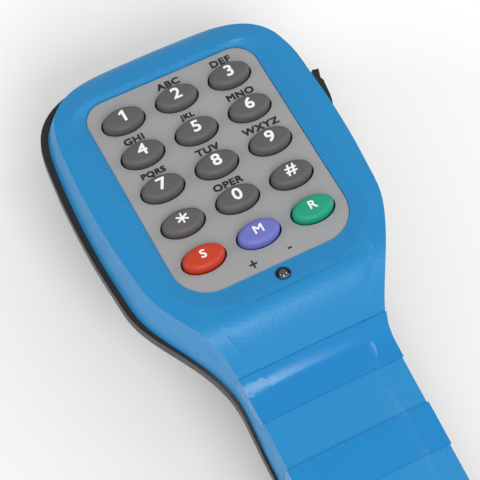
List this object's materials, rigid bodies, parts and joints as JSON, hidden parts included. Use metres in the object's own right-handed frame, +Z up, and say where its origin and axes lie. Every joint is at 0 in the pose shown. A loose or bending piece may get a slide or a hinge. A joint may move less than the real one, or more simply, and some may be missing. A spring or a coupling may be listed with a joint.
{
  "type": "lineman's telephone test set",
  "caption": "Handheld telephone test handset with a tilted dial pad, ribbed handle, ear and mouth pieces, side lever and belt clip.",
  "frame": {"origin": "on the table under the middle of the handset, which lies on its back", "axes": "+Z up through the dial pad's side, +Y towards the earpiece end, +X to the right of the dial pad"},
  "size_m": [0.0772, 0.2417, 0.0554],
  "materials": {
    "blue_shell": "fine-textured moulded plastic with smooth glossy grip bands",
    "black_shell": "fine-textured moulded plastic",
    "rubber_black": "matt rubber",
    "grey_plate": "satin printed overlay",
    "grey_key": "matt moulded key",
    "red_key": "matt moulded key",
    "purple_key": "matt moulded key",
    "green_key": "matt moulded key",
    "silicone": "translucent grey silicone",
    "circuit_board": "solder-masked glass laminate",
    "steel": "bright zinc-plated steel",
    "brass": "turned brass",
    "chip": "moulded epoxy",
    "tin": "drawn metal can",
    "capacitor": "shrink sleeve",
    "led_lens": "smoked clear epoxy lens",
    "capsule": "moulded capsule",
    "iron": "stacked laminations",
    "copper": "enamelled copper wire",
    "relay": "moulded relay case",
    "ceramic": "glazed ceramic",
    "terminal_green": "moulded terminal housing",
    "ribbon": "flat ribbon cable",
    "black_lever": "moulded plastic"
  },
  "bodies": {
    "handset": {"back_shell": "black_shell", "board_capacitors": "capacitor", "board_ribbon": "ribbon", "board_screws": "steel", "clamp_screws": "steel", "clip_pin": "steel", "clip_spring": "steel", "cord_clamp": "black_shell", "cord_gland": "rubber_black", "dialler_chip": "chip", "dialler_crystal": "tin", "ear_cap": "black_shell", "ear_cushion": "rubber_black", "front_shell": "blue_shell", "hook_relay": "relay", "key_mat": "silicone", "keypad_plate": "grey_plate", "lever_pin": "steel", "line_board": "circuit_board", "line_board_screws": "steel", "line_capacitors": "capacitor", "main_board": "circuit_board", "microphone_boot": "rubber_black", "microphone_capsule": "tin", "mouth_cap": "black_shell", "polarity_led": "led_lens", "receiver_capsule": "capsule", "receiver_retainer": "black_shell", "receiver_seal": "rubber_black", "shell_gasket": "rubber_black", "shell_screws": "steel", "surge_arrester": "ceramic", "talk_switch": "chip", "terminal_block": "terminal_green", "terminal_screws": "brass", "transformer_core": "iron", "transformer_windings": "copper"},
    "key_1_body": {"key_1": "grey_key"},
    "key_2_body": {"key_2": "grey_key"},
    "key_3_body": {"key_3": "grey_key"},
    "key_4_body": {"key_4": "grey_key"},
    "key_5_body": {"key_5": "grey_key"},
    "key_6_body": {"key_6": "grey_key"},
    "key_7_body": {"key_7": "grey_key"},
    "key_8_body": {"key_8": "grey_key"},
    "key_9_body": {"key_9": "grey_key"},
    "key_star_body": {"key_star": "grey_key"},
    "key_0_body": {"key_0": "grey_key"},
    "key_hash_body": {"key_hash": "grey_key"},
    "key_store_body": {"key_store": "red_key"},
    "key_memory_body": {"key_memory": "purple_key"},
    "key_redial_body": {"key_redial": "green_key"},
    "lever_body": {"talk_lever": "black_lever"},
    "clip_body": {"belt_clip": "black_lever"}
  },
  "joints": [
    {"name": "key_1_press", "type": "slide", "parent": "handset", "child": "key_1_body", "axis": [0, -0.1736, -0.9848], "range_m": [0, 0.0011], "stiffness_N_per_m": 500, "springref_m": -0.0006},
    {"name": "key_2_press", "type": "slide", "parent": "handset", "child": "key_2_body", "axis": [0, -0.1736, -0.9848], "range_m": [0, 0.0011], "stiffness_N_per_m": 500, "springref_m": -0.0006},
    {"name": "key_3_press", "type": "slide", "parent": "handset", "child": "key_3_body", "axis": [0, -0.1736, -0.9848], "range_m": [0, 0.0011], "stiffness_N_per_m": 500, "springref_m": -0.0006},
    {"name": "key_4_press", "type": "slide", "parent": "handset", "child": "key_4_body", "axis": [0, -0.1736, -0.9848], "range_m": [0, 0.0011], "stiffness_N_per_m": 500, "springref_m": -0.0006},
    {"name": "key_5_press", "type": "slide", "parent": "handset", "child": "key_5_body", "axis": [0, -0.1736, -0.9848], "range_m": [0, 0.0011], "stiffness_N_per_m": 500, "springref_m": -0.0006},
    {"name": "key_6_press", "type": "slide", "parent": "handset", "child": "key_6_body", "axis": [0, -0.1736, -0.9848], "range_m": [0, 0.0011], "stiffness_N_per_m": 500, "springref_m": -0.0006},
    {"name": "key_7_press", "type": "slide", "parent": "handset", "child": "key_7_body", "axis": [0, -0.1736, -0.9848], "range_m": [0, 0.0011], "stiffness_N_per_m": 500, "springref_m": -0.0006},
    {"name": "key_8_press", "type": "slide", "parent": "handset", "child": "key_8_body", "axis": [0, -0.1736, -0.9848], "range_m": [0, 0.0011], "stiffness_N_per_m": 500, "springref_m": -0.0006},
    {"name": "key_9_press", "type": "slide", "parent": "handset", "child": "key_9_body", "axis": [0, -0.1736, -0.9848], "range_m": [0, 0.0011], "stiffness_N_per_m": 500, "springref_m": -0.0006},
    {"name": "key_star_press", "type": "slide", "parent": "handset", "child": "key_star_body", "axis": [0, -0.1736, -0.9848], "range_m": [0, 0.0011], "stiffness_N_per_m": 500, "springref_m": -0.0006},
    {"name": "key_0_press", "type": "slide", "parent": "handset", "child": "key_0_body", "axis": [0, -0.1736, -0.9848], "range_m": [0, 0.0011], "stiffness_N_per_m": 500, "springref_m": -0.0006},
    {"name": "key_hash_press", "type": "slide", "parent": "handset", "child": "key_hash_body", "axis": [0, -0.1736, -0.9848], "range_m": [0, 0.0011], "stiffness_N_per_m": 500, "springref_m": -0.0006},
    {"name": "key_store_press", "type": "slide", "parent": "handset", "child": "key_store_body", "axis": [0, -0.1736, -0.9848], "range_m": [0, 0.0011], "stiffness_N_per_m": 500, "springref_m": -0.0006},
    {"name": "key_memory_press", "type": "slide", "parent": "handset", "child": "key_memory_body", "axis": [0, -0.1736, -0.9848], "range_m": [0, 0.0011], "stiffness_N_per_m": 500, "springref_m": -0.0006},
    {"name": "key_redial_press", "type": "slide", "parent": "handset", "child": "key_redial_body", "axis": [0, -0.1736, -0.9848], "range_m": [0, 0.0011], "stiffness_N_per_m": 500, "springref_m": -0.0006},
    {"name": "talk_lever_turn", "type": "hinge", "parent": "handset", "child": "lever_body", "pos_m": [0.032, 0.088, 0.031], "axis": [0, 0, 1], "range_deg": [0, 4]},
    {"name": "belt_clip_open", "type": "hinge", "parent": "handset", "child": "clip_body", "pos_m": [0, -0.103, 0.0466], "axis": [1, 0, 0], "range_deg": [0, 22], "stiffness_Nm_per_rad": 0.6, "springref_deg": -17.19}
  ]
}
